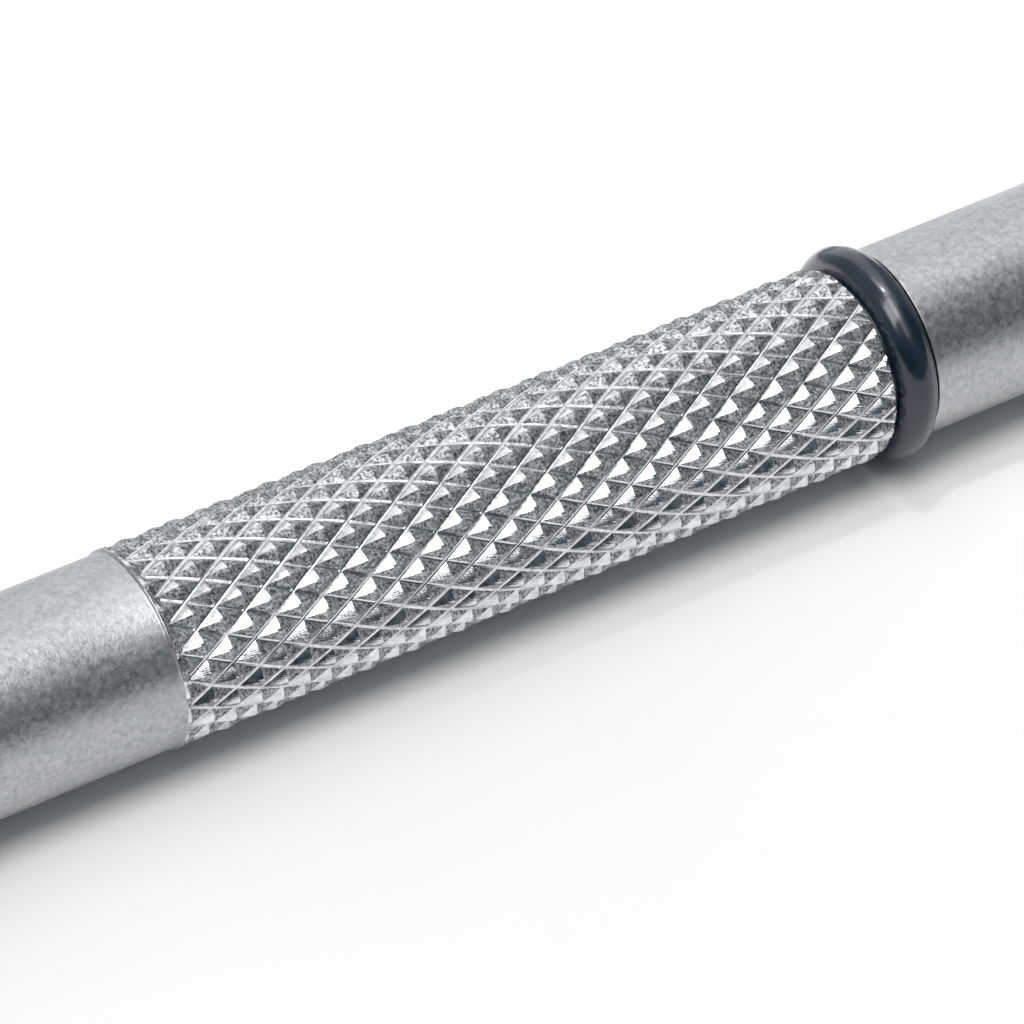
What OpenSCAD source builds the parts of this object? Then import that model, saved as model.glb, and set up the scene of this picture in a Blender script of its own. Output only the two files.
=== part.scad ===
// Hand grip strengthener: two knurled bar handles on the cranked legs of one torsion spring.
// It lies flat on its four rubber rings, with the coil towards +X and the free ends towards -X.
// The palm handle is on the -Y side and the finger handle is its mirror image on the +Y side.

/* [Handles] */
// Diameter of the plain bar
bar_d = 15; // [12:0.5:20]
// Height of the knurl's points above the plain bar
knurl_rise = 0.225; // [0.1:0.025:0.4]
// Length of the knurled grip
knurl_len = 61; // [45:1:90]
// Plain length of the grip tube behind the knurl
tail_len = 20; // [15:1:35]
// Length of the bevel that ends the knurl
bevel_len = 1; // [0.5:0.1:2]
// Depth of the bevel that ends the knurl
bevel_depth = 0.4; // [0.3:0.1:1]
// Small chamfer on plain edges
edge_chamfer = 0.4; // [0.2:0.1:0.8]

/* [Spring sockets] */
// Visible length of the spring socket
socket_len = 22; // [18:1:36]
// Length of the threaded spigots
spigot_len = 12; // [8:1:14]
// Major diameter of the spigots' thread
thread_d = 10; // [9.5:0.5:10]
// Depth of the spigots' thread, left for the tap by the bore through the grip tube
thread_depth = 0.75; // [0.5:0.05:1]
// Radial clearance of the threads
thread_gap = 0.05; // [0.02:0.01:0.1]
// Radial clearance round the spring leg
leg_gap = 0.1; // [0.05:0.05:0.2]

/* [Rubber rings] */
// Cross-section of the rubber rings
ring_cs = 3.3; // [2.5:0.1:3.6]
// How far a ring stands out of the plain bar
ring_proud = 1.05; // [0.7:0.05:1.3]
// Clearance between a ring and its groove
ring_gap = 0.05; // [0.02:0.01:0.1]
// Room between a ring and the end of the grip tube
ring_room = 0.45; // [0.1:0.05:0.8]

/* [Tail plugs] */
// Length of a tail plug's head
plug_len = 8; // [6.5:0.5:12]
// Radius of the plug's rounded end
plug_round = 2; // [1:0.25:3]
// Diameter of the cord hole across the plug
cord_hole_d = 3.5; // [2.5:0.25:4]
// Wall between the cord hole and the plug's inner face
cord_hole_wall = 2; // [1:0.25:3]

/* [Spring] */
// Diameter of the spring wire
wire_d = 4.5; // [3.5:0.25:5]
// Mean diameter of the coil
coil_d = 38; // [28:1:42]
// Whole turns of the coil, beside the part turn between the legs
coil_turns = 2; // [1:1:2]
// Gap between neighbouring turns
coil_gap = 0.1; // [0.05:0.05:0.3]
// Angle between the handles when they are open
open_angle = 32; // [24:1:40]
// Free length of each leg between the coil and its socket
leg_free = 33; // [24:1:38]
// Length of each leg inside its socket
leg_held = 36; // [24:1:36]
// Straight stretch of each leg beside the coil, before its crank
leg_straight = 11; // [8:0.5:14]

/* [Socket screws] */
// Diameter of the socket screws
screw_d = 4; // [3:0.5:5]
// Radial clearance of the screws' threads
screw_gap = 0.05; // [0.02:0.01:0.1]
// Hexagon of the screws across its flats
screw_hex = 2; // [1.5:0.5:2.5]
// Depth of the screws' hexagon
screw_hex_depth = 2; // [1.5:0.25:2.5]
// How far the screws sit below the bar's surface
screw_sunk = 0.35; // [0.2:0.05:0.6]
// Distance of each screw from the nearer end of its socket
screw_inset = 6.5; // [5:0.5:9]

/* [Hidden] */

// Radii
bar_r = bar_d / 2;
crest_r = bar_r + knurl_rise;
ring_r = ring_cs / 2;
ring_pitch_r = bar_r + ring_proud - ring_r;
groove_floor_r = ring_pitch_r - ring_r - ring_gap;
thread_r = thread_d / 2;
tube_bore_r = thread_r - thread_depth;
wire_r = wire_d / 2;
coil_r = coil_d / 2;
leg_bore_r = wire_r + leg_gap;
groove_w = ring_cs + ring_gap + ring_room;

// Stations along a handle, from the point where its axis touches the coil's mean circle, towards the coil
socket_end = -leg_free;
socket_start = socket_end - socket_len;
tube_end = socket_start - groove_w;
knurl_start = tube_end - knurl_len;
tube_start = knurl_start - tail_len;
plug_end = tube_start - groove_w;
plug_start = plug_end - plug_len;
grip_ring_x = socket_start - ring_gap - ring_r;
tail_ring_x = plug_end + ring_gap + ring_r;
cord_hole_x = plug_end - cord_hole_wall - cord_hole_d / 2;

half_angle = open_angle / 2;
tail_reach = coil_r * sin(half_angle) + (plug_start + plug_round) * cos(half_angle)
    - (bar_r - plug_round) * sin(half_angle) - plug_round;
coil_x = -(tail_reach + coil_r + wire_r) / 2;

// The spring's wire, half of whose coil lies above the handles' axes and half below
turn_rise = wire_d + coil_gap;
wrap_angle = 360 * coil_turns + 180 - open_angle;
leg_height = turn_rise * wrap_angle / 720;

// The handles' axes lie level, at the height that stands the rubber rings, or a taller coil, on z = 0
axis_z = max(bar_r + ring_proud, leg_height + wire_r);

wire_sides = 16;
coil_steps = 12 * coil_turns * 3;
crank_steps = 8;

steel = [0.66, 0.67, 0.68];
rubber = [0.10, 0.12, 0.14];
spring_steel = [0.50, 0.51, 0.53];
black_steel = [0.09, 0.09, 0.10];

function smooth(t) = t * t * (3 - 2 * t);

// Centre line of the wire, from the end of the palm leg to the end of the finger leg
function leg_point(along, height, side) =
    let (
        a = side * half_angle,
        tangent = [coil_r * sin(half_angle), side * -coil_r * cos(half_angle)]
    ) [coil_x + tangent[0] + along * cos(a), tangent[1] + along * sin(a), axis_z + height];
function leg_path(side, sign) = concat(
    [leg_point(-leg_free - leg_held, 0, side)],
    [for (i = [0:crank_steps])
        let (t = i / crank_steps)
        leg_point(-leg_free + (leg_free - leg_straight) * t, sign * leg_height * smooth(t), side)]
);
function reversed(list) = [for (i = [len(list) - 1:-1:0]) list[i]];
function coil_path() = [for (i = [0:coil_steps])
    let (t = i / coil_steps, a = -90 + half_angle + wrap_angle * t)
    [coil_x + coil_r * cos(a), coil_r * sin(a), axis_z + leg_height * (2 * t - 1)]];
function wire_path() = concat(leg_path(1, -1), coil_path(), reversed(leg_path(-1, 1)));

// Rings of points round a path that stays close to level
function unit(v) = v / norm(v);
function path_direction(p, i) = unit(p[min(i + 1, len(p) - 1)] - p[max(i - 1, 0)]);
function section(centre, direction, r, sides) =
    let (
        across = unit([-direction[1], direction[0], 0]),
        up = cross(direction, across)
    ) [for (k = [0:sides - 1]) centre + r * (cos(360 * k / sides) * across + sin(360 * k / sides) * up)];
module swept(path, r, sides) {
    points = [for (i = [0:len(path) - 1]) each section(path[i], path_direction(path, i), r, sides)];
    last = (len(path) - 1) * sides;
    walls = [for (i = [0:len(path) - 2], k = [0:sides - 1])
        let (a = i * sides + k, b = i * sides + (k + 1) % sides)
        [a, b, b + sides, a + sides]];
    caps = [[for (k = [sides - 1:-1:0]) k], [for (k = [0:sides - 1]) last + k]];
    polyhedron(points = points, faces = concat([for (f = walls) reversed(f)], [for (c = caps) reversed(c)]));
}

// A solid of revolution about X: each point is [radius, position along X]
module turned(points) rotate([0, 90, 0]) rotate_extrude($fn = 96) polygon(points);
module rod(r, x0, x1) translate([x0, 0, 0]) rotate([0, 90, 0]) cylinder(r = r, h = x1 - x0, $fn = 64);

module on_palm_side()
    translate([coil_x, 0, axis_z]) rotate([0, 0, half_angle]) translate([0, -coil_r, 0]) children();
module on_finger_side() mirror([0, 1, 0]) on_palm_side() children();

// One handle's pieces, with the handle's axis on X
module grip_tube() color(steel) difference() {
    turned([
        [0, tube_start],
        [bar_r - edge_chamfer, tube_start],
        [bar_r, tube_start + edge_chamfer],
        [bar_r, knurl_start - edge_chamfer],
        [crest_r, knurl_start],
        [crest_r, tube_end - bevel_len],
        [crest_r - bevel_depth, tube_end],
        [0, tube_end],
    ]);
    rod(tube_bore_r, tube_start - 1, tube_end + 1);
    rod(thread_r + thread_gap, tube_start - 1, tube_start + spigot_len + 1);
    rod(thread_r + thread_gap, tube_end - spigot_len - 1, tube_end + 1);
}

module screw_hole(x) translate([x, 0, 0]) rotate([-90, 0, 0])
    cylinder(r = screw_d / 2 + screw_gap, h = bar_d, $fn = 48);

module spring_socket() color(steel) difference() {
    turned([
        [0, socket_end],
        [bar_r - edge_chamfer, socket_end],
        [bar_r, socket_end - edge_chamfer],
        [bar_r, socket_start + edge_chamfer],
        [bar_r - edge_chamfer, socket_start],
        [groove_floor_r, socket_start],
        [groove_floor_r, tube_end],
        [thread_r, tube_end],
        [thread_r, tube_end - spigot_len + edge_chamfer],
        [thread_r - edge_chamfer, tube_end - spigot_len],
        [0, tube_end - spigot_len],
    ]);
    rod(leg_bore_r, tube_end - spigot_len - 1, socket_end + 1);
    screw_hole(socket_end - screw_inset);
    screw_hole(socket_start + screw_inset);
}

module tail_plug() color(steel) difference() {
    turned(concat(
        [[0, plug_start]],
        [for (a = [0:15:90])
            [bar_r - plug_round + plug_round * sin(a), plug_start + plug_round - plug_round * cos(a)]],
        [
            [bar_r, plug_end - edge_chamfer],
            [bar_r - edge_chamfer, plug_end],
            [groove_floor_r, plug_end],
            [groove_floor_r, tube_start],
            [thread_r, tube_start],
            [thread_r, tube_start + spigot_len - edge_chamfer],
            [thread_r - edge_chamfer, tube_start + spigot_len],
            [0, tube_start + spigot_len],
        ]
    ));
    translate([cord_hole_x, 0, -bar_d]) cylinder(d = cord_hole_d, h = 2 * bar_d, $fn = 48);
}

module rubber_ring(x) color(rubber) translate([x, 0, 0]) rotate([0, 90, 0])
    rotate_extrude($fn = 96) translate([ring_pitch_r, 0]) circle(r = ring_r, $fn = 48);

module socket_screw(x) color(black_steel) translate([x, 0, 0]) rotate([-90, 0, 0]) difference() {
    translate([0, 0, leg_bore_r]) cylinder(d = screw_d, h = bar_r - screw_sunk - leg_bore_r, $fn = 48);
    translate([0, 0, bar_r - screw_sunk - screw_hex_depth])
        cylinder(r = screw_hex / sqrt(3), h = screw_hex_depth + 1, $fn = 6);
}

module torsion_spring() color(spring_steel) swept(wire_path(), wire_r, wire_sides);

on_palm_side() grip_tube();  // palm_grip_tube
on_palm_side() spring_socket();  // palm_spring_socket
on_palm_side() rubber_ring(grip_ring_x);  // palm_grip_ring
on_palm_side() rubber_ring(tail_ring_x);  // palm_tail_ring
on_palm_side() tail_plug();  // palm_tail_plug
on_palm_side() socket_screw(socket_end - screw_inset);  // palm_socket_screw_outer
on_palm_side() socket_screw(socket_start + screw_inset);  // palm_socket_screw_inner
on_finger_side() grip_tube();  // finger_grip_tube
on_finger_side() spring_socket();  // finger_spring_socket
on_finger_side() rubber_ring(grip_ring_x);  // finger_grip_ring
on_finger_side() rubber_ring(tail_ring_x);  // finger_tail_ring
on_finger_side() tail_plug();  // finger_tail_plug
on_finger_side() socket_screw(socket_end - screw_inset);  // finger_socket_screw_outer
on_finger_side() socket_screw(socket_start + screw_inset);  // finger_socket_screw_inner
torsion_spring();
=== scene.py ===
"""Hand grip strengthener: two knurled steel bar handles on the cranked legs of one torsion spring.

It is made in the order in which the real one is put together: the grip tubes, the sockets that hold
the spring, the rubber rings, the tail plugs, the socket screws, and last the spring itself.
Lengths are in millimetres in each handle's own frame, and palm_side() or finger_side() carries them
into the object's frame in metres.
"""

import bmesh
import bpy
import numpy as np
from mathutils import Matrix, Vector


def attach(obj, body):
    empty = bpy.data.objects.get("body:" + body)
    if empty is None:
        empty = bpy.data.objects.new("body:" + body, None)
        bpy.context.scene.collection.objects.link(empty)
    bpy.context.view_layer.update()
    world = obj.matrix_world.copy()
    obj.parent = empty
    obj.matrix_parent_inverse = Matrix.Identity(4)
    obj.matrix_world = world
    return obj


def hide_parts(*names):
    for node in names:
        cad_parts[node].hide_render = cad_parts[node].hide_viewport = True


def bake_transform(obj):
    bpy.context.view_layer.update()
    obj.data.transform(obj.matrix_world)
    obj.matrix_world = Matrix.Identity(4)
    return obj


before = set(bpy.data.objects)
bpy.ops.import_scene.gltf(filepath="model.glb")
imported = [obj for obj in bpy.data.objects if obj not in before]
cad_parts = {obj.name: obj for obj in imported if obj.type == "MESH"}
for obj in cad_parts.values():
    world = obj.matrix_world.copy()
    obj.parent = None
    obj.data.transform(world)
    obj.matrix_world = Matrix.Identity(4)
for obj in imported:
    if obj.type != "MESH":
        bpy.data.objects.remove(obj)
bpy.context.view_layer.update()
MM = 0.001


# ---------------------------------------------------------------------------------------------------
# Camera: a long lens about 450 mm from the palm handle's grip, on its tail side and above it. Its
# place and its turn are in the object's frame.
# ---------------------------------------------------------------------------------------------------
CAMERA_AT = np.array([-111.679, -368.595, 303.006])
CAMERA_HEADING = np.radians(15.8675)      # turned from +Y towards +X
CAMERA_DOWN = np.radians(41.1252)         # tipped down from level

lens = bpy.data.cameras.new("camera")
lens.sensor_width = 36.0
lens.lens = 214.577
lens.clip_start, lens.clip_end = 0.01, 20.0
camera = bpy.data.objects.new("camera", lens)
camera.location = Vector(CAMERA_AT * MM)
camera.rotation_euler = (np.pi / 2 - CAMERA_DOWN, 0.0, -CAMERA_HEADING)
bpy.context.scene.collection.objects.link(camera)
bpy.context.scene.camera = camera


# ---------------------------------------------------------------------------------------------------
# Grip tubes: two lengths of 15 mm stainless bar, bored through and tapped at both ends. The front
# 61 mm is knurled in the lathe with a pair of wheels, which raise the metal a little above the plain
# bar. The plain ends are bead blasted, and the knurl is left as the wheels made it, with a glossy
# flank towards the tail and matt flanks elsewhere. The flanks' tones are painted light and shade: pale
# on the flank towards the tail and on the groove floors, dark on the other flanks.
HALF_ANGLE = np.radians(16.0)             # half of the angle between the open handles
COIL_AT, COIL_R = 60.4168, 19.0           # the spring coil's middle along X, and its mean radius
AXIS_Z = 8.55                             # height of the handles' axes above the table
BAR_R, CREST_R = 7.5, 7.725               # the plain bar's radius, and that of the knurl's points
TUBE_TAIL, KNURL_TAIL, TUBE_FRONT = -139.8, -119.8, -58.8
TUBE_BORE_R, THREAD_DEPTH = 4.25, 12.0
EDGE, EDGE_ROUND = 0.4, 0.25              # a turned edge's chamfer, and how far its corners are eased
PLAIN_RINGS = (-133.0, -127.0)            # extra rings, which keep the plain end's triangles short
KNURL_STEP = 0.15                         # the length over which the bar steps up to the knurl
BEVEL, BEVEL_DROP = 1.0, 0.4              # the turned bevel that ends the knurl
STARTS = 21                               # grooves each way round the bar
KNURL_PITCH = 3.958                       # from point to point along the bar
KNURL_DEPTH, CURVE = 0.60, 1.3            # the flanks steepen a little towards the groove
FLOOR_DROP = 0.05                         # the fall of the groove's floor, as a share of the depth
GROOVE_RUN_IN = 0.7                       # the length over which the grooves reach their depth
LEAST_BLUNT, MORE_BLUNT = 0.02, 0.10      # what the points lose, as shares of the depth
STEPS = 8                                 # grid steps between a point and the groove beside it
END_GAP = 0.3                             # no grid line is nearer the band's ends, in grid steps
CHANCES = 1009                            # how many chance numbers the pyramids share


def palm_side(points):
    """The palm handle's frame is moved sideways by the coil's radius, turned about Z by the half
    angle, and moved to the coil's middle."""
    along, across, up = points[..., 0], points[..., 1] - COIL_R, points[..., 2]
    c, s = np.cos(HALF_ANGLE), np.sin(HALF_ANGLE)
    return np.stack([COIL_AT + along * c - across * s, along * s + across * c, AXIS_Z + up], -1) * MM


def finger_side(points):
    """The finger handle is the palm handle's mirror image in the plane Y = 0."""
    return palm_side(points) * [1, -1, 1]


SIDES = {"palm": palm_side, "finger": finger_side}


def grid_triangles(rows, columns, ring_rows=False, ring_columns=False, other_way=None):
    """Each cell of a grid of points is cut along one diagonal, a to c, or along b to d where
    other_way is true; a ring joins its last row or column to its first."""
    i = np.arange(rows if ring_rows else rows - 1)[:, None]
    j = np.arange(columns if ring_columns else columns - 1)[None, :]
    a = i * columns + j
    b = (i + 1) % rows * columns + j
    c = (i + 1) % rows * columns + (j + 1) % columns
    d = i * columns + (j + 1) % columns
    if other_way is None:
        other_way = np.zeros(a.shape, bool)
    first = np.where(other_way[..., None], np.stack([a, b, d], -1), np.stack([a, b, c], -1))
    second = np.where(other_way[..., None], np.stack([b, c, d], -1), np.stack([a, c, d], -1))
    return np.stack([first, second], 2)   # rows, columns, two triangles, three corners


def make_piece(name, sheets, body, node, materials):
    """Sheets are (points in metres, triangles, material numbers, smooth or flat). Their points are
    welded where they meet, triangles with no area are dropped, and all faces are turned outwards."""
    points, faces, paint, smooth, start = [], [], [], [], 0
    for grid, triangles, number, is_smooth in sheets:
        flat = triangles.reshape(-1, 3)
        points.append(grid.reshape(-1, 3))
        faces.append(flat + start)
        paint.append(np.broadcast_to(number, triangles.shape[:-1]).reshape(-1))
        smooth.append(np.full(len(flat), is_smooth))
        start += grid.size // 3
    points, faces = np.concatenate(points), np.concatenate(faces)
    paint, smooth = np.concatenate(paint), np.concatenate(smooth)
    _, first, welded = np.unique(np.round(points / 1e-7).astype(np.int64), axis=0,
                                 return_index=True, return_inverse=True)
    points, faces = points[first], welded.reshape(-1)[faces]
    full = (faces[:, 0] != faces[:, 1]) & (faces[:, 1] != faces[:, 2]) & (faces[:, 2] != faces[:, 0])
    faces, paint, smooth = faces[full], paint[full], smooth[full]
    mesh = bpy.data.meshes.new(name)
    mesh.vertices.add(len(points))
    mesh.vertices.foreach_set("co", points.ravel())
    mesh.loops.add(faces.size)
    mesh.loops.foreach_set("vertex_index", faces.ravel())
    mesh.polygons.add(len(faces))
    mesh.polygons.foreach_set("loop_start", np.arange(len(faces)) * 3)
    for material in materials:
        mesh.materials.append(material)
    mesh.polygons.foreach_set("material_index", paint)
    mesh.polygons.foreach_set("use_smooth", smooth)
    mesh.update(calc_edges=True)
    shell = bmesh.new()
    shell.from_mesh(mesh)
    bmesh.ops.recalc_face_normals(shell, faces=shell.faces)
    shell.to_mesh(mesh)
    shell.free()
    mesh.validate()
    piece = bpy.data.objects.new(name, mesh)
    bpy.context.scene.collection.objects.link(piece)
    if body:
        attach(piece, body)
    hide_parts(node)
    return piece


def turn(profile, angles):
    """Each point (along, radius) of the profile goes round the handle's axis: across is the radius
    times the angle's cosine, up is the radius times its sine."""
    along, radius = np.asarray(profile, float).T
    return np.stack([np.broadcast_to(along[:, None], (len(along), len(angles))),
                     radius[:, None] * np.cos(angles), radius[:, None] * np.sin(angles)], -1)


ROUND_POINTS = 4


def rounded(corners, radius):
    """A polyline whose corners are cut back by the radius, or by a third of the shorter side beside
    them, and bridged by a quadratic curve with the corner as its middle control point."""
    p = np.asarray(corners, float)
    before, after = p[:-2] - p[1:-1], p[2:] - p[1:-1]
    long_before, long_after = np.linalg.norm(before, axis=1), np.linalg.norm(after, axis=1)
    cut = np.minimum(radius, np.minimum(long_before, long_after) / 3)[:, None]
    start = p[1:-1] + before / long_before[:, None] * cut
    end = p[1:-1] + after / long_after[:, None] * cut
    t = np.linspace(0, 1, ROUND_POINTS)[None, :, None]
    arcs = (1 - t) ** 2 * start[:, None] + 2 * t * (1 - t) * p[1:-1, None] + t ** 2 * end[:, None]
    return np.concatenate([p[:1], arcs.reshape(-1, 2), p[-1:]])


def linear(hexadecimal):
    """An sRGB colour's hex value as linear light, by the sRGB curve."""
    c = np.array([int(hexadecimal[i:i + 2], 16) for i in (1, 3, 5)]) / 255
    c = np.where(c <= 0.04045, c / 12.92, ((c + 0.055) / 1.055) ** 2.4)
    return (*(float(v) for v in c), 1.0)


def add(tree, kind, settings=(), links=(), **attributes):
    """Adds a node. Settings are (input, value) pairs, links are (input, socket of another node)
    pairs, and attributes are set on the node itself."""
    made = tree.nodes.new("ShaderNode" + kind)
    for name, value in attributes.items():
        setattr(made, name, value)
    for name, value in settings:
        made.inputs[name].default_value = value
    for name, socket in links:
        tree.links.new(socket, made.inputs[name])
    return made


def new_finish(name):
    """An empty material, its node tree, and its Object coordinates in metres."""
    material = bpy.data.materials.new(name)
    material.use_nodes = True
    tree = material.node_tree
    tree.nodes.clear()
    return material, tree, add(tree, "TexCoord").outputs["Object"]


def blasted_stainless():
    """Bead-blasted stainless steel: a soft, slightly cloudy grey with a fine dimpled grain."""
    material, tree, place = new_finish("bead_blasted_stainless")
    # Glass beads of about 0.1 mm leave dimples, drawn here at 0.25 mm so that they show
    dimples = add(tree, "TexNoise", [("Scale", 4000.0), ("Detail", 3.0), ("Roughness", 0.6)],
                  [("Vector", place)])
    # Mottled patches of 0.3 to 0.8 mm where the blast struck more or less
    mottle = add(tree, "TexNoise", [("Scale", 1900.0), ("Detail", 4.0), ("Roughness", 0.7)],
                 [("Vector", place)])
    tone = add(tree, "ValToRGB", links=[("Fac", mottle.outputs["Fac"])])
    tone.color_ramp.elements[0].position, tone.color_ramp.elements[0].color = 0.30, linear("#9ea1a3")
    tone.color_ramp.elements[1].position, tone.color_ramp.elements[1].color = 0.70, linear("#c9cacb")
    matt = add(tree, "MapRange", [("From Min", 0.3), ("From Max", 0.7), ("To Min", 0.33), ("To Max", 0.46)],
               [("Value", mottle.outputs["Fac"])])
    pits = add(tree, "Bump", [("Strength", 0.35), ("Distance", 0.00006)],
               [("Height", dimples.outputs["Fac"])])
    waves = add(tree, "Bump", [("Strength", 0.25), ("Distance", 0.00006)],
                [("Height", mottle.outputs["Fac"]), ("Normal", pits.outputs["Normal"])])
    shader = add(tree, "BsdfPrincipled", [("Metallic", 1.0)],
                 [("Base Color", tone.outputs["Color"]), ("Roughness", matt.outputs["Result"]),
                  ("Normal", waves.outputs["Normal"])])
    add(tree, "OutputMaterial", links=[("Surface", shader.outputs["BSDF"])])
    return material


def torn_stainless_painted_shade():
    """Torn stainless steel: the matt, speckled flanks that the wheels' teeth scrape as they leave. The
    matt finish is the metal's own. Its darker base tone is painted shade on the flanks that face away
    from the light.
    """
    material, tree, place = new_finish("torn_knurl_stainless_painted_shade")
    # Torn metal, 0.1 to 0.4 mm across, with small dark pits
    tears = add(tree, "TexNoise", [("Scale", 4400.0), ("Detail", 5.0), ("Roughness", 0.75)],
                [("Vector", place)])
    # Shallow dents about 0.8 mm across
    patches = add(tree, "TexNoise", [("Scale", 1300.0), ("Detail", 3.0), ("Roughness", 0.6)],
                  [("Vector", place)])
    # Painted shade: these dark base tones make the flanks that face away from the light look shaded
    tone = add(tree, "ValToRGB", links=[("Fac", tears.outputs["Fac"])])
    tone.color_ramp.elements[0].position, tone.color_ramp.elements[0].color = 0.41, linear("#56595c")
    tone.color_ramp.elements[1].position, tone.color_ramp.elements[1].color = 0.59, linear("#d9dcdd")
    matt = add(tree, "MapRange", [("From Min", 0.35), ("From Max", 0.65), ("To Min", 0.42), ("To Max", 0.62)],
               [("Value", patches.outputs["Fac"])])
    torn = add(tree, "Bump", [("Strength", 0.6), ("Distance", 0.00008)],
               [("Height", tears.outputs["Fac"])])
    dents = add(tree, "Bump", [("Strength", 0.5), ("Distance", 0.00015)],
                [("Height", patches.outputs["Fac"]), ("Normal", torn.outputs["Normal"])])
    shader = add(tree, "BsdfPrincipled", [("Metallic", 1.0)],
                 [("Base Color", tone.outputs["Color"]), ("Roughness", matt.outputs["Result"]),
                  ("Normal", dents.outputs["Normal"])])
    add(tree, "OutputMaterial", links=[("Surface", shader.outputs["BSDF"])])
    return material


def burnished_stainless_painted_light():
    """Burnished stainless steel: the glossy flank that the wheels' teeth press smooth as they enter. The
    gloss is the metal's own. Its pale base tone is painted light on this flank and on the groove floors.
    """
    material, tree, place = new_finish("burnished_knurl_stainless_painted_light")
    # Slight waves and scratches, 0.3 to 1 mm across
    waves = add(tree, "TexNoise", [("Scale", 1500.0), ("Detail", 5.0), ("Roughness", 0.65)],
                [("Vector", place)])
    # Painted light: these pale base tones make the flank towards the tail and the groove floors look lit
    tone = add(tree, "ValToRGB", links=[("Fac", waves.outputs["Fac"])])
    tone.color_ramp.elements[0].position, tone.color_ramp.elements[0].color = 0.34, linear("#c2c6c8")
    tone.color_ramp.elements[1].position, tone.color_ramp.elements[1].color = 0.60, linear("#eeeff0")
    gloss = add(tree, "MapRange",
                [("From Min", 0.35), ("From Max", 0.65), ("To Min", 0.14), ("To Max", 0.26)],
                [("Value", waves.outputs["Fac"])])
    dents = add(tree, "Bump", [("Strength", 0.35), ("Distance", 0.00006)],
                [("Height", waves.outputs["Fac"])])
    shader = add(tree, "BsdfPrincipled", [("Metallic", 1.0)],
                 [("Base Color", tone.outputs["Color"]), ("Roughness", gloss.outputs["Result"]),
                  ("Normal", dents.outputs["Normal"])])
    add(tree, "OutputMaterial", links=[("Surface", shader.outputs["BSDF"])])
    return material


# The knurl's two flank materials carry painted light (the pale one) and painted shade (the dark one)
BLASTED, TORN_PAINTED_SHADE, BURNISHED_PAINTED_LIGHT = blasted_stainless(), torn_stainless_painted_shade(), burnished_stainless_painted_light()

# Here, along the handle and round it, a left-hand groove crosses a right-hand one
CROSSING_AT, CROSSING_ANGLE = -89.829, np.radians(-0.1905)


def groove_phases(along, angle):
    """How many grooves of each hand lie between a point and that crossing: the run along the bar in
    pitches, plus or minus the share of a turn times the number of starts."""
    run, share = (along - CROSSING_AT) / KNURL_PITCH, (angle - CROSSING_ANGLE) / (2 * np.pi) * STARTS
    return run + share, run - share


def knurled_radius(along, angle, chance):
    """The radius at the points less the depth of the nearer groove. Each phase makes a V, zero deep
    midway between grooves and raised to the power CURVE, up to one grid step from the groove. From
    there a far flatter V is the groove's floor. At the tail end the depth grows by 3t^2 - 2t^3 over
    the run-in. Each pyramid's point is blunted by its own chance number, and the bevel cuts
    everything at the front."""
    left, right = groove_phases(along, angle)
    deep = np.maximum(np.abs(2 * (left % 1) - 1), np.abs(2 * (right % 1) - 1))
    floor = np.clip(deep * STEPS - STEPS + 1, 0, 1)
    deep = np.minimum(deep, 1 - 1 / STEPS) ** CURVE + FLOOR_DROP * floor
    t = np.clip((along - KNURL_TAIL) / GROOVE_RUN_IN, 0, 1)
    deep = deep * t * t * (3 - 2 * t)
    # The two factors only spread neighbouring pyramids over the list of chance numbers
    pyramid = (np.floor(left).astype(int) * 57 + np.floor(right).astype(int) * 131) % CHANCES
    blunt = LEAST_BLUNT + MORE_BLUNT * chance[pyramid] ** 2
    radius = CREST_R - KNURL_DEPTH * np.maximum(deep, blunt)
    bevel = CREST_R - BEVEL_DROP * (along - TUBE_FRONT + BEVEL) / BEVEL
    return np.minimum(radius, bevel)


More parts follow.
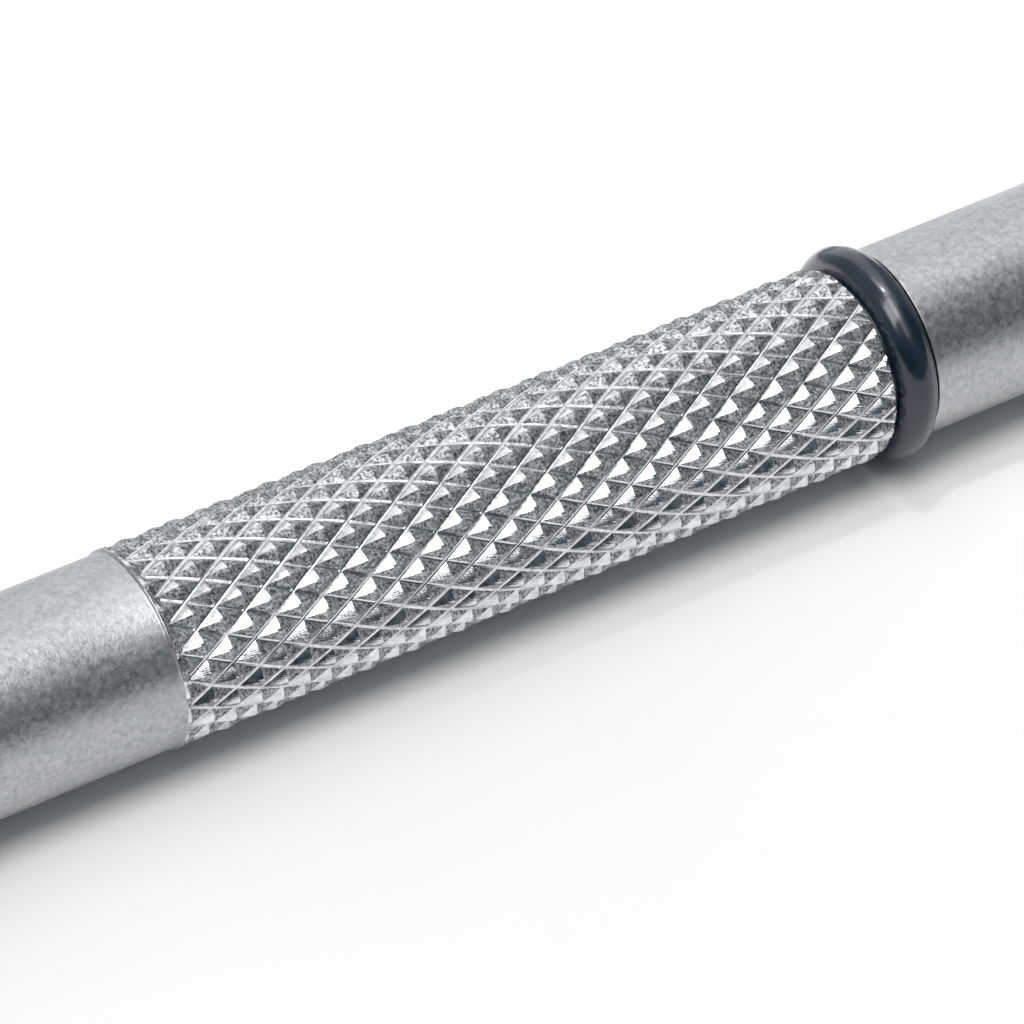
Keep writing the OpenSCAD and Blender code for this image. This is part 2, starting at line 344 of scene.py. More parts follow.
def make_grip_tube(side, seed):
    """The knurled band's grid lines pass through every point and crossing, and each cell is cut along
    the groove that runs through it. Plain turned skins close the tube before and behind the band, and
    take the band's own first and last rings as their edges."""
    step_along, step_round = KNURL_PITCH / 2 / STEPS, np.pi / STARTS / STEPS
    first = int(np.ceil((KNURL_TAIL - CROSSING_AT) / step_along + END_GAP))
    last = int(np.floor((TUBE_FRONT - CROSSING_AT) / step_along - END_GAP))
    inner = CROSSING_AT + np.arange(first, last + 1) * step_along
    lines = np.concatenate([[KNURL_TAIL], inner, [TUBE_FRONT]])
    turns = np.arange(2 * STARTS * STEPS)
    angles = CROSSING_ANGLE + turns * step_round
    chance = np.random.default_rng(seed).random(CHANCES)
    along, angle = np.meshgrid(lines, angles, indexing="ij")
    radius = knurled_radius(along, angle, chance)
    band = np.stack([along, radius * np.cos(angle), radius * np.sin(angle)], -1)
    # A left-hand groove runs where row and column add up to a multiple of 2 * STEPS. It goes from b to
    # d, so the cells in it and beside it are cut that way
    row = np.arange(first - 1, last + 1)[:, None]
    other_way = (row + turns[None, :] + 2) % (2 * STEPS) <= 2
    triangles = grid_triangles(len(lines), len(angles), False, True, other_way)
    # A triangle's middle tells which flank it is on: the one towards the tail and the groove's floor get
    # the glossy material, whose pale tone is painted light, and the other flanks get the matt material,
    # whose dark tone is painted shade
    unrolled = np.stack([np.repeat(lines, len(angles)), np.tile(angles, len(lines))], -1)[triangles]
    turned = np.unwrap(unrolled[..., 1], period=2 * np.pi, axis=-1).mean(-1)
    left, right = groove_phases(unrolled[..., 0].mean(-1), turned)
    left, right = left % 1 - 0.5, right % 1 - 0.5
    in_floor = np.maximum(np.abs(left), np.abs(right)) > 0.5 - 0.5 / STEPS
    to_tail = (np.abs(left) > np.abs(right)) & (left < 0)
    painted_light_flanks = np.where(in_floor | to_tail, 2, 1)       # in the order of the materials below
    plain = rounded([(TUBE_TAIL, TUBE_BORE_R), (TUBE_TAIL, BAR_R - EDGE), (TUBE_TAIL + EDGE, BAR_R),
                     (KNURL_TAIL - KNURL_STEP, BAR_R), (KNURL_TAIL, CREST_R)], EDGE_ROUND)
    before_step = len(plain) - ROUND_POINTS - 1
    plain = np.insert(plain, before_step, [[station, BAR_R] for station in PLAIN_RINGS], 0)
    bore = [(TUBE_FRONT, CREST_R - BEVEL_DROP), (TUBE_FRONT, TUBE_BORE_R),
            (TUBE_FRONT - THREAD_DEPTH, TUBE_BORE_R), (TUBE_TAIL + THREAD_DEPTH, TUBE_BORE_R),
            (TUBE_TAIL, TUBE_BORE_R)]
    place, outside, inside = SIDES[side], turn(plain, angles), turn(bore, angles)
    outside[-1], inside[0] = band[0], band[-1]
    return make_piece(
        f"{side}_grip_tube_knurled",
        [(place(outside), grid_triangles(len(plain), len(angles), False, True), 0, True),
         (place(band), triangles, painted_light_flanks, False),
         (place(inside), grid_triangles(len(bore), len(angles), False, True), 0, True)],
        f"{side}_handle", f"{side}_grip_tube", [BLASTED, TORN_PAINTED_SHADE, BURNISHED_PAINTED_LIGHT])


for side, seed in (("palm", 3), ("finger", 8)):
    make_grip_tube(side, seed)


# ---------------------------------------------------------------------------------------------------
# Spring sockets: turned from the same bar and blasted with it. A spigot screws into the grip tube,
# the spring's leg slides up the bore, and two screws in the inner side clamp it.
# ---------------------------------------------------------------------------------------------------
SOCKET_TAIL, SOCKET_FRONT = -55.0, -33.0
GROOVE_FLOOR_R, SPIGOT_R = 5.2, 5.0       # the ring sits on the groove's floor
LEG_BORE_R, LEG_BORE_DEPTH, LEG_BORE_MOUTH = 2.35, 14.0, 0.5
SCREW_STATIONS = (-39.5, -48.5)
SCREW_HOLE_R, SCREW_HOLE_SKIRT = 2.05, 0.7
# The screw hole's wall: shares of its radius, and how far down
SCREW_WELL = ((1.0, 0.0), (0.97, 0.12), (0.97, 2.0), (0.97, 4.9), (0.0, 4.9))
RIM = 0.03                                # the edge beside the ring is only just broken
SMALL_ROUND = 0.15
FACETS, SOCKET_LINES = 144, 65            # cells round a turned piece, and lines along the socket
PATCH_RINGS, PATCH_CROWDING = 7, 0.8      # rings between a hole's rim and the grid round it


def holed_skin(stations, angles, holes, bar_r):
    """A cylinder's grid of cells with some blocks of cells left out for round cross holes, each given
    by its station, its angle, its radius and the block's half width. Each block is filled by rings of
    points that go from its border to the hole's rim, where the rim is (station + r cos t,
    asin(r sin t / bar radius)). Returns the sheets and each hole's rim."""
    along, angle = np.meshgrid(stations, angles, indexing="ij")
    keep = np.ones((len(stations) - 1, len(angles)), bool)
    sheets, rims = [], []
    for station, turned_to, hole_r, reach in holes:
        wide = reach / bar_r
        i0 = int(np.searchsorted(stations, station - reach)) - 1
        i1 = int(np.searchsorted(stations, station + reach))
        step = angles[1] - angles[0]
        j0 = int(np.floor((turned_to - wide - angles[0]) / step))
        j1 = int(np.ceil((turned_to + wide - angles[0]) / step))
        keep[i0:i1, np.arange(j0, j1) % len(angles)] = False
        i = np.concatenate([np.arange(i0, i1), np.full(j1 - j0, i1), np.arange(i1, i0, -1),
                            np.full(j1 - j0, i0)])
        j = np.concatenate([np.full(i1 - i0, j0), np.arange(j0, j1), np.full(i1 - i0, j1),
                            np.arange(j1, j0, -1)])
        border = np.stack([stations[i], angles[0] + j * step], -1)
        t = np.arctan2((border[:, 1] - turned_to) * bar_r, border[:, 0] - station)
        rim = np.stack([station + hole_r * np.cos(t),
                        turned_to + np.arcsin(hole_r * np.sin(t) / bar_r)], -1)
        mix = np.linspace(0, 1, PATCH_RINGS)[:, None, None] ** PATCH_CROWDING
        patch = border * (1 - mix) + rim * mix
        skin = np.stack([patch[..., 0], bar_r * np.cos(patch[..., 1]),
                         bar_r * np.sin(patch[..., 1])], -1)
        sheets.append((skin, grid_triangles(*skin.shape[:2], False, True)))
        rims.append((t, skin[-1]))
    whole = np.stack([along, bar_r * np.cos(angle), bar_r * np.sin(angle)], -1)
    sheets.append((whole, grid_triangles(len(stations), len(angles), False, True)[keep]))
    return sheets, rims


def make_spring_socket(side):
    """The outside is a holed cylinder, the ends, groove and bore are a turned profile, and each screw
    hole is a short round well from the rim down to a flat bottom under the screw."""
    angles = np.arange(FACETS) * 2 * np.pi / FACETS
    stations = np.linspace(SOCKET_TAIL + EDGE, SOCKET_FRONT - EDGE, SOCKET_LINES)
    holes = [(station, 0.0, SCREW_HOLE_R, SCREW_HOLE_R + SCREW_HOLE_SKIRT) for station in SCREW_STATIONS]
    skins, rims = holed_skin(stations, angles, holes, BAR_R)
    front = rounded([(SOCKET_FRONT - EDGE, BAR_R), (SOCKET_FRONT, BAR_R - EDGE),
                     (SOCKET_FRONT, LEG_BORE_R + LEG_BORE_MOUTH), (SOCKET_FRONT - LEG_BORE_MOUTH, LEG_BORE_R),
                     (SOCKET_FRONT - LEG_BORE_DEPTH, LEG_BORE_R), (SOCKET_FRONT - LEG_BORE_DEPTH, 0)],
                    SMALL_ROUND)
    tail = rounded([(SOCKET_TAIL + EDGE, BAR_R), (SOCKET_TAIL + RIM, BAR_R), (SOCKET_TAIL, BAR_R - RIM),
                    (SOCKET_TAIL, GROOVE_FLOOR_R), (TUBE_FRONT, GROOVE_FLOOR_R), (TUBE_FRONT, SPIGOT_R),
                    (TUBE_FRONT - THREAD_DEPTH, SPIGOT_R), (TUBE_FRONT - THREAD_DEPTH, 0)], SMALL_ROUND)
    place = SIDES[side]
    sheets = [(place(points), triangles, 0, True) for points, triangles in skins]
    for profile in (front, tail):
        sheets.append((place(turn(profile, angles)),
                       grid_triangles(len(profile), FACETS, False, True), 0, True))
    size, sunk = np.array(SCREW_WELL).T[..., None]
    for station, (t, rim) in zip(SCREW_STATIONS, rims):
        # Near the top the wall keeps the rim's curve, and further down its rings are flat
        across = np.where(sunk < 1, rim[:, 1] - sunk, BAR_R - sunk)
        well = np.stack([station + SCREW_HOLE_R * size * np.cos(t), across,
                         SCREW_HOLE_R * size * np.sin(t)], -1)
        well[0] = rim
        sheets.append((place(well), grid_triangles(*well.shape[:2], False, True), 0, True))
    return make_piece(f"{side}_spring_socket_turned", sheets, f"{side}_handle", f"{side}_spring_socket",
                      [BLASTED])


for side in SIDES:
    make_spring_socket(side)


# ---------------------------------------------------------------------------------------------------
# Rubber rings: four black nitrile O-rings of 3.3 mm section, pressed in a two-part mould and rolled
# into the grooves. The tail pair is the soft stop when the handles are squeezed shut.
# ---------------------------------------------------------------------------------------------------
RING_R, RING_MIDDLE_R = 1.65, 6.9         # the section's radius, and that of its middle's circle
RING_STATIONS = {"grip": -56.7, "tail": -141.9}
PARTING_LINE, LINE_WIDTH = 0.03, 0.05     # its height, and its half width in radians of the section
RING_POINTS, SECTION_POINTS = 192, 64


def nitrile_rubber():
    """Nitrile rubber: blue-black, with a soft sheen from the polished mould."""
    material, tree, place = new_finish("nitrile_rubber")
    # Paler patches about 3 mm across, where wax from the rubber has come to the surface
    bloom = add(tree, "TexNoise", [("Scale", 350.0), ("Detail", 4.0), ("Roughness", 0.6)],
                [("Vector", place)])
    tone = add(tree, "ValToRGB", links=[("Fac", bloom.outputs["Fac"])])
    tone.color_ramp.elements[0].position, tone.color_ramp.elements[0].color = 0.35, linear("#0f1d28")
    tone.color_ramp.elements[1].position, tone.color_ramp.elements[1].color = 0.70, linear("#1d2f3e")
    sheen = add(tree, "MapRange",
                [("From Min", 0.35), ("From Max", 0.65), ("To Min", 0.20), ("To Max", 0.28)],
                [("Value", bloom.outputs["Fac"])])
    # The moulded skin's own grain, drawn at 0.4 mm so that it shows
    skin = add(tree, "TexNoise", [("Scale", 2500.0), ("Detail", 3.0)], [("Vector", place)])
    grain = add(tree, "Bump", [("Strength", 0.12), ("Distance", 0.00005)],
                [("Height", skin.outputs["Fac"])])
    shader = add(tree, "BsdfPrincipled", [("IOR", 1.52), ("Coat Weight", 0.5), ("Coat Roughness", 0.08)],
                 [("Base Color", tone.outputs["Color"]), ("Roughness", sheen.outputs["Result"]),
                  ("Normal", grain.outputs["Normal"])])
    add(tree, "OutputMaterial", links=[("Surface", shader.outputs["BSDF"])])
    return material


RUBBER = nitrile_rubber()


def make_ring(side, which):
    """A circle of the section's radius is carried round the handle's axis. The parting line, where
    the mould's halves met, stands on it at the outer and inner edge, as a bell curve of the angle."""
    around = np.arange(RING_POINTS) * 2 * np.pi / RING_POINTS
    section = np.arange(SECTION_POINTS) * 2 * np.pi / SECTION_POINTS
    line = PARTING_LINE * np.exp(-(np.sin(section) / LINE_WIDTH) ** 2)
    swell = RING_R - PARTING_LINE + line
    profile = np.stack([RING_STATIONS[which] + swell * np.sin(section),
                        RING_MIDDLE_R + swell * np.cos(section)], -1)
    points = SIDES[side](turn(profile, around))
    triangles = grid_triangles(SECTION_POINTS, RING_POINTS, True, True)
    return make_piece(f"{side}_{which}_ring_moulded", [(points, triangles, 0, True)],
                      f"{side}_handle", f"{side}_{which}_ring", [RUBBER])


for side in SIDES:
    for which in RING_STATIONS:
        make_ring(side, which)


# ---------------------------------------------------------------------------------------------------
# Tail plugs: turned stainless plugs with a rounded end, screwed into the tubes against the tail
# rings. A cord hole is drilled across each and its rims are broken.
# ---------------------------------------------------------------------------------------------------
PLUG_FRONT, PLUG_TAIL, PLUG_ROUND = -143.6, -151.6, 2.0
PLUG_LINES, PLUG_ROUND_POINTS = 19, 17
FACE_R, PIP_R, PIP = 3.0, 0.8, 0.05       # the turning tool leaves a shallow hollow in the end's middle
CORD_STATION, CORD_R = -147.35, 1.75
CORD_EDGE, CORD_SKIRT = 0.15, 0.2         # the hole's broken rim, and the grid that is cut away round it
CORD_LEVELS = (0.97, 0.5, 0.0, -0.5, -0.97)       # the wall's rings, as shares of the rim's height


def make_tail_plug(side):
    """The outside is a cylinder with a hole above and below, the rounded end and the groove are a
    turned profile, and the cord hole is a tube of rings from one rim to the other."""
    angles = np.arange(FACETS) * 2 * np.pi / FACETS
    stations = np.linspace(PLUG_TAIL + PLUG_ROUND, PLUG_FRONT - EDGE, PLUG_LINES)
    holes = [(CORD_STATION, turned, CORD_R + CORD_EDGE, CORD_R + CORD_EDGE + CORD_SKIRT)
             for turned in (np.pi / 2, -np.pi / 2)]
    skins, rims = holed_skin(stations, angles, holes, BAR_R)
    quarter = np.linspace(0, np.pi / 2, PLUG_ROUND_POINTS)
    end = np.stack([PLUG_TAIL + PLUG_ROUND - PLUG_ROUND * np.sin(quarter),
                    BAR_R - PLUG_ROUND + PLUG_ROUND * np.cos(quarter)], -1)
    end = np.concatenate([end, [(PLUG_TAIL, FACE_R), (PLUG_TAIL + PIP, PIP_R), (PLUG_TAIL + PIP, 0.0)]])
    front = rounded([(PLUG_FRONT - EDGE, BAR_R), (PLUG_FRONT, BAR_R - EDGE), (PLUG_FRONT, GROOVE_FLOOR_R),
                     (TUBE_TAIL, GROOVE_FLOOR_R), (TUBE_TAIL, SPIGOT_R),
                     (TUBE_TAIL + THREAD_DEPTH, SPIGOT_R), (TUBE_TAIL + THREAD_DEPTH, 0)], SMALL_ROUND)
    place = SIDES[side]
    sheets = [(place(points), triangles, 0, True) for points, triangles in skins]
    for profile in (end, front):
        sheets.append((place(turn(profile, angles)),
                       grid_triangles(len(profile), FACETS, False, True), 0, True))
    (_, top), (_, under) = rims
    # The lower rim runs the other way round, so it is put in the upper one's order
    order = np.argsort(np.arctan2(-under[:, 1], under[:, 0] - CORD_STATION))
    start = np.argsort(np.arctan2(-top[:, 1], top[:, 0] - CORD_STATION))
    top, under = top[start], under[order]
    t = np.arctan2(-top[:, 1], top[:, 0] - CORD_STATION)
    wall = np.stack([CORD_STATION + CORD_R * np.cos(t), -CORD_R * np.sin(t)], -1)
    level = np.array(CORD_LEVELS)[:, None] * top[:, 2]
    tube = np.concatenate([np.broadcast_to(wall, (len(level), *wall.shape)), level[..., None]], -1)
    tube = np.concatenate([top[None], tube, under[None]])
    sheets.append((place(tube), grid_triangles(*tube.shape[:2], False, True), 0, True))
    return make_piece(f"{side}_tail_plug_turned", sheets, f"{side}_handle", f"{side}_tail_plug",
                      [BLASTED])


for side in SIDES:
    make_tail_plug(side)


# ---------------------------------------------------------------------------------------------------
# Socket screws: M4 grub screws of alloy steel with a black oxide finish, a hexagon socket, and a
# chamfered top that sits just below the bar's surface.
# ---------------------------------------------------------------------------------------------------
SCREW_R, SCREW_TOP, SCREW_FOOT = 2.0, 7.15, 2.35      # heights are above the handle's axis
HEX_HALF, HEX_DEEP = 1.0, 2.0             # half of the hexagon's width, and its depth
SCREW_POINTS = 96


def black_oxide_steel():
    """Black oxide on alloy steel: nearly black and slightly oily, with paler handled patches."""
    material, tree, place = new_finish("black_oxide_steel")
    # Patches about 0.7 mm across
    wear = add(tree, "TexNoise", [("Scale", 1500.0), ("Detail", 4.0), ("Roughness", 0.6)],
               [("Vector", place)])
    tone = add(tree, "ValToRGB", links=[("Fac", wear.outputs["Fac"])])
    tone.color_ramp.elements[0].position, tone.color_ramp.elements[0].color = 0.35, linear("#1d1d1f")
    tone.color_ramp.elements[1].position, tone.color_ramp.elements[1].color = 0.75, linear("#3a3a3c")
    grain = add(tree, "Bump", [("Strength", 0.2), ("Distance", 0.00003)], [("Height", wear.outputs["Fac"])])
    shader = add(tree, "BsdfPrincipled", [("Metallic", 1.0), ("Roughness", 0.38)],
                 [("Base Color", tone.outputs["Color"]), ("Normal", grain.outputs["Normal"])])
    add(tree, "OutputMaterial", links=[("Surface", shader.outputs["BSDF"])])
    return material


BLACK_OXIDE = black_oxide_steel()


def make_socket_screw(side, name, station):
    """Rings of points at (radius, height): a circle's radius is the same all round, a hexagon's is
    its half width over the cosine of the angle from the nearest flat's middle."""
    t = np.arange(SCREW_POINTS) * 2 * np.pi / SCREW_POINTS
    from_flat = (t + np.pi / 6) % (np.pi / 3) - np.pi / 6
    hexagon = HEX_HALF / np.cos(from_flat)
    # The cone point, the side, and the chamfered top; then the hexagon's broken rim, wall and drilled end
    side_rings = [(0.0, SCREW_FOOT), (1.2, SCREW_FOOT), (SCREW_R - 0.1, SCREW_FOOT + 0.6),
                  (SCREW_R - 0.03, SCREW_FOOT + 0.75), (SCREW_R - 0.03, SCREW_TOP - 0.4),
                  (SCREW_R - 0.08, SCREW_TOP - 0.3), (SCREW_R - 0.35, SCREW_TOP)]
    hex_rings = [(1.06, SCREW_TOP), (1.0, SCREW_TOP - 0.08), (1.0, SCREW_TOP - HEX_DEEP),
                 (0.0, SCREW_TOP - HEX_DEEP - 0.4)]
    rings = side_rings + [(share * hexagon, height) for share, height in hex_rings]
    points = np.stack([np.stack([station + radius * np.cos(t), np.full(SCREW_POINTS, height),
                                 radius * np.sin(t)], -1) for radius, height in rings])
    triangles = grid_triangles(len(rings), SCREW_POINTS, False, True)
    return make_piece(f"{side}_{name}_black", [(SIDES[side](points), triangles, 0, False)],
                      f"{side}_handle", f"{side}_{name}", [BLACK_OXIDE])


for side in SIDES:
    for name, station in zip(("socket_screw_outer", "socket_screw_inner"), SCREW_STATIONS):
        make_socket_screw(side, name, station)


# ---------------------------------------------------------------------------------------------------
# Torsion spring: 4.5 mm hard-drawn spring wire, coiled cold with its turns almost touching. Each leg
# leaves the coil in a tangent and is cranked back to the height of the handles' axes. As the handles
# close each leg stays in its own socket and the coil shares the turn between them.
# ---------------------------------------------------------------------------------------------------
WIRE_R = 2.25
LEG_FREE, LEG_STRAIGHT = 33.0, 11.0       # from the coil to the socket, and to the crank
LEG_HELD, LEG_MIDWAY = 13.5, 6.0          # the length in the socket, and a ring on the way
TURN_RISE = 4.6                           # the wire's diameter and 0.1 mm of air
WRAP = np.radians(868.0)                  # how far the coil goes round, about 2.4 turns
LEG_HEIGHT = TURN_RISE * WRAP / (4 * np.pi)       # half of the coil's rise, up to the wire's middle
LEG_POINTS, STRAIGHT_POINTS, COIL_POINTS, WIRE_POINTS = 40, 8, 361, 40


def drawn_spring_wire():
    """Drawn spring wire: a satin grey with faint die lines along the wire."""
    material, tree, _ = new_finish("drawn_spring_wire")
    wrapped = add(tree, "UVMap", uv_map="along_wire")
    # Die lines 0.3 mm apart, drawn out to 26 mm along the wire
    stretch = add(tree, "Mapping", [("Scale", (0.012, 1.0, 1.0))], [("Vector", wrapped.outputs["UV"])])
    die = add(tree, "TexNoise", [("Scale", 3200.0), ("Detail", 3.0), ("Roughness", 0.6)],
              [("Vector", stretch.outputs["Vector"])])
    # Stains 4 mm long
    stain = add(tree, "TexNoise", [("Scale", 260.0), ("Detail", 4.0), ("Roughness", 0.6)],
                [("Vector", wrapped.outputs["UV"])])
    tone = add(tree, "ValToRGB", links=[("Fac", stain.outputs["Fac"])])
    tone.color_ramp.elements[0].position, tone.color_ramp.elements[0].color = 0.30, linear("#9da0a3")
    tone.color_ramp.elements[1].position, tone.color_ramp.elements[1].color = 0.72, linear("#c4c6c8")
    gloss = add(tree, "MapRange", [("From Min", 0.3), ("From Max", 0.7), ("To Min", 0.20), ("To Max", 0.36)],
                [("Value", die.outputs["Fac"])])
    lines = add(tree, "Bump", [("Strength", 0.25), ("Distance", 0.00003)], [("Height", die.outputs["Fac"])])
    shader = add(tree, "BsdfPrincipled", [("Metallic", 1.0)],
                 [("Base Color", tone.outputs["Color"]), ("Roughness", gloss.outputs["Result"]),
                  ("Normal", lines.outputs["Normal"])])
    add(tree, "OutputMaterial", links=[("Surface", shader.outputs["BSDF"])])
    return material


def wire_path():
    """Up one leg, round the coil and down the other leg. A leg's height goes from the axis to its
    end of the coil by 3t^2 - 2t^3 between the socket and its straight stretch; the coil climbs
    evenly with its angle."""
    def leg(side, sign):
        along = np.concatenate([[-LEG_FREE - LEG_HELD, -LEG_FREE - LEG_MIDWAY],
                                np.linspace(-LEG_FREE, -LEG_STRAIGHT, LEG_POINTS),
                                np.linspace(-LEG_STRAIGHT, 0, STRAIGHT_POINTS)[1:-1]])
        t = np.clip((along + LEG_FREE) / (LEG_FREE - LEG_STRAIGHT), 0, 1)
        c, s = np.cos(HALF_ANGLE), np.sin(HALF_ANGLE)
        return np.stack([COIL_AT + COIL_R * s + along * c, side * (-COIL_R * c + along * s),
                         AXIS_Z + sign * LEG_HEIGHT * t * t * (3 - 2 * t)], -1)
    t = np.linspace(0, 1, COIL_POINTS)
    angle = -np.pi / 2 + HALF_ANGLE + WRAP * t
    coil = np.stack([COIL_AT + COIL_R * np.cos(angle), COIL_R * np.sin(angle),
                     AXIS_Z + LEG_HEIGHT * (2 * t - 1)], -1)
    return np.concatenate([leg(1, -1), coil, leg(-1, 1)[::-1]])


def make_spring():
    """A circle of the wire's radius stands square to the path at each of its points: across is the
    level direction beside the path, and up is the path's direction turned into it. Both ends are
    closed by a point."""
    path = wire_path()
    forward = np.gradient(path, axis=0)
    forward /= np.linalg.norm(forward, axis=1)[:, None]
    across = np.stack([-forward[:, 1], forward[:, 0], np.zeros(len(path))], -1)
    across /= np.linalg.norm(across, axis=1)[:, None]
    up = np.cross(forward, across)
    t = np.arange(WIRE_POINTS) * 2 * np.pi / WIRE_POINTS
    points = path[:, None] + WIRE_R * (np.cos(t)[None, :, None] * across[:, None]
                                       + np.sin(t)[None, :, None] * up[:, None])
    points = np.concatenate([np.broadcast_to(path[0], (1, WIRE_POINTS, 3)), points,
                             np.broadcast_to(path[-1], (1, WIRE_POINTS, 3))]) * MM
    triangles = grid_triangles(len(points), WIRE_POINTS, False, True)
    piece = make_piece("torsion_spring_coiled", [(points, triangles, 0, True)],
                       None, "torsion_spring", [drawn_spring_wire()])
    # Each vertex finds the path's nearest point, and its place along and round the wire is its UV
    co = np.empty(len(piece.data.vertices) * 3)
    piece.data.vertices.foreach_get("co", co)
    co = co.reshape(-1, 3) / MM
    near = np.argmin(((co[:, None, :] - path[None, :, :]) ** 2).sum(-1), 1)
    run = np.concatenate([[0], np.cumsum(np.linalg.norm(np.diff(path, axis=0), axis=1))])
    off = co - path[near]
    turned = np.arctan2((off * up[near]).sum(1), (off * across[near]).sum(1)) % (2 * np.pi)
    corner = np.empty(len(piece.data.loops), np.int32)
    piece.data.loops.foreach_get("vertex_index", corner)
    # A triangle over the seam keeps its corners on one side of it
    v = turned[corner].reshape(-1, 3)
    v = np.where((v.max(1) - v.min(1) > np.pi)[:, None] & (v < np.pi), v + 2 * np.pi, v)
    uv = np.stack([run[near][corner], v.reshape(-1) * WIRE_R], -1) * MM
    piece.data.uv_layers.new(name="along_wire").data.foreach_set("uv", uv.ravel())
    return piece


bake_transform(make_spring())


# ---------------------------------------------------------------------------------------------------
# Table and light: white paper under a long strip light and a wide softbox, both overhead, with a spot
# on the paper behind the palm handle. The room is dark in front and bright above and behind.
# ---------------------------------------------------------------------------------------------------
def paper_white():
    """White matt paper, with the faintest unevenness over 80 mm or so."""
    material, tree, place = new_finish("white_paper")
    fibre = add(tree, "TexNoise", [("Scale", 12.0), ("Detail", 4.0)], [("Vector", place)])
    tone = add(tree, "ValToRGB", links=[("Fac", fibre.outputs["Fac"])])
    tone.color_ramp.elements[0].position, tone.color_ramp.elements[0].color = 0.3, linear("#f5f4f5")
    tone.color_ramp.elements[1].position, tone.color_ramp.elements[1].color = 0.7, linear("#f9f8f8")
    shader = add(tree, "BsdfPrincipled", [("Roughness", 0.9), ("Specular IOR Level", 0.2)],
                 [("Base Color", tone.outputs["Color"])])
    add(tree, "OutputMaterial", links=[("Surface", shader.outputs["BSDF"])])
    return material


FAR = 10.0                                # half of the table's width, in metres
table_mesh = bpy.data.meshes.new("table")
table_mesh.from_pydata([(-FAR, -FAR, 0), (FAR, -FAR, 0), (FAR, FAR, 0), (-FAR, FAR, 0)], [], [(0, 1, 2, 3)])
table_mesh.materials.append(paper_white())
table = bpy.data.objects.new("table", table_mesh)
bpy.context.scene.collection.objects.link(table)


MIDDLE = np.array([-0.015, -0.040, 0.008])       # about the middle of the palm handle's grip, in metres
ALONG = np.array([np.cos(HALF_ANGLE), np.sin(HALF_ANGLE), 0.0])


def from_handle(sideways, height, away):
    """A place seen from the middle of the palm handle: sideways and height are angles in degrees from
    the plane square to the handle and from the table's front, and away is in metres."""
    a, e = np.radians(sideways), np.radians(height)
    across = np.array([np.sin(HALF_ANGLE), -np.cos(HALF_ANGLE), 0.0])
    up = np.array([0.0, 0.0, 1.0])
    return MIDDLE + away * (np.sin(a) * ALONG + np.cos(a) * (np.cos(e) * across + np.sin(e) * up))


def softbox(name, at, wide, tall, watts):
    """An area light that faces the palm handle, with its width along the handle."""
    back = (at - MIDDLE) / np.linalg.norm(at - MIDDLE)
    side = ALONG - back * (ALONG @ back)
    side /= np.linalg.norm(side)
    light = bpy.data.lights.new(name, "AREA")
    light.shape, light.size, light.size_y, light.energy = "RECTANGLE", wide, tall, watts
    lamp = bpy.data.objects.new(name, light)
    turned = Matrix(np.stack([side, np.cross(back, side), back], 1))
    lamp.matrix_world = Matrix.Translation(at) @ turned.to_4x4()
    bpy.context.scene.collection.objects.link(lamp)


softbox("softbox_strip", from_handle(sideways=-3, height=79, away=1.12), wide=0.36, tall=1.6, watts=3.1)
softbox("softbox_above", from_handle(sideways=-23, height=75, away=1.2), wide=1.25, tall=0.46, watts=8.9)

spot_at, spot_on = Vector((0.0, 0.05, 0.45)), Vector((0.02, 0.07, 0.0))
spot = bpy.data.lights.new("background_spot", "SPOT")
spot.energy, spot.spot_size, spot.spot_blend, spot.shadow_soft_size = 9.0, np.radians(28), 1.0, 0.05
lamp = bpy.data.objects.new("background_spot", spot)
lamp.location = spot_at
lamp.rotation_euler = (spot_at - spot_on).to_track_quat("Z", "Y").to_euler()
bpy.context.scene.collection.objects.link(lamp)

world = bpy.data.worlds.new("room")
bpy.context.scene.world = world
world.use_nodes = True
room = world.node_tree
room.nodes.clear()
way = add(room, "TexCoord").outputs["Generated"]
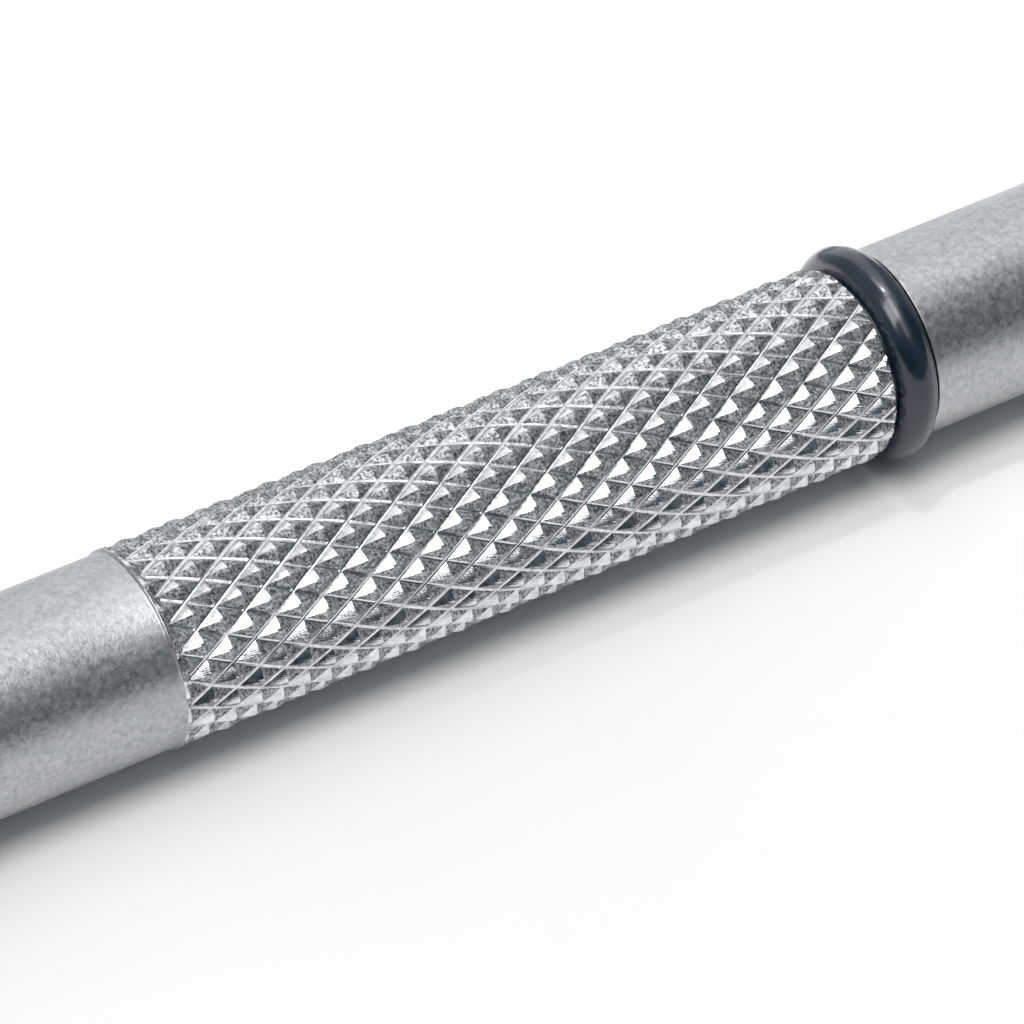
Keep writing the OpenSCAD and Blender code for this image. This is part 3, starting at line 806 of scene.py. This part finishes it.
# The room is a barrel along the palm handle: its brightness depends on the angle of height, as a
# share of the half turn from level in front, over the top, to level behind
forward = add(room, "VectorMath", [(1, (np.sin(HALF_ANGLE), -np.cos(HALF_ANGLE), 0))], [(0, way)],
              operation="DOT_PRODUCT")
height = add(room, "SeparateXYZ", links=[("Vector", way)]).outputs["Z"]
# Below the table's edge it is as bright as above it, so no line shows along the horizon
level = add(room, "Math", links=[(0, height)], operation="ABSOLUTE")
angle = add(room, "Math", links=[(0, level.outputs["Value"]), (1, forward.outputs["Value"])],
            operation="ARCTAN2")
turned = add(room, "MapRange", [("From Min", 0.0), ("From Max", np.pi)], [("Value", angle.outputs["Value"])])
barrel = add(room, "ValToRGB", links=[("Fac", turned.outputs["Result"])])
barrel.color_ramp.interpolation = "EASE"
barrel.color_ramp.elements[0].position, barrel.color_ramp.elements[0].color = 0.36, linear("#5c696f")
barrel.color_ramp.elements[1].position, barrel.color_ramp.elements[1].color = 0.54, linear("#fafbfd")
barrel.color_ramp.elements.new(0.0).color = linear("#2f383e")
barrel.color_ramp.elements.new(0.20).color = linear("#5c696f")
# It also depends on how far along the handle one looks, so that the bright part is an arch over it
along = add(room, "VectorMath", [(1, (np.cos(HALF_ANGLE), np.sin(HALF_ANGLE), 0))], [(0, way)],
            operation="DOT_PRODUCT").outputs["Value"]
spread = add(room, "MapRange", [("From Min", -1.0), ("From Max", 1.0)], [("Value", along)])
arch = add(room, "ValToRGB", links=[("Fac", spread.outputs["Result"])])
arch.color_ramp.interpolation = "EASE"
arch.color_ramp.elements[0].position, arch.color_ramp.elements[0].color = 0.40, (0.3, 0.3, 0.3, 1)
arch.color_ramp.elements[1].position, arch.color_ramp.elements[1].color = 0.52, (1.0, 1.0, 1.0, 1)
arch.color_ramp.elements.new(0.75).color = (1.0, 1.0, 1.0, 1)
arch.color_ramp.elements.new(0.86).color = (0.25, 0.25, 0.25, 1)
both = add(room, "VectorMath", links=[(0, barrel.outputs["Color"]), (1, arch.outputs["Color"])],
           operation="MULTIPLY")
glow = add(room, "Background", [("Strength", 1.2)], [("Color", both.outputs["Vector"])])
add(room, "OutputWorld", links=[("Surface", glow.outputs["Background"])])
bpy.context.scene.view_settings.view_transform = "Standard"
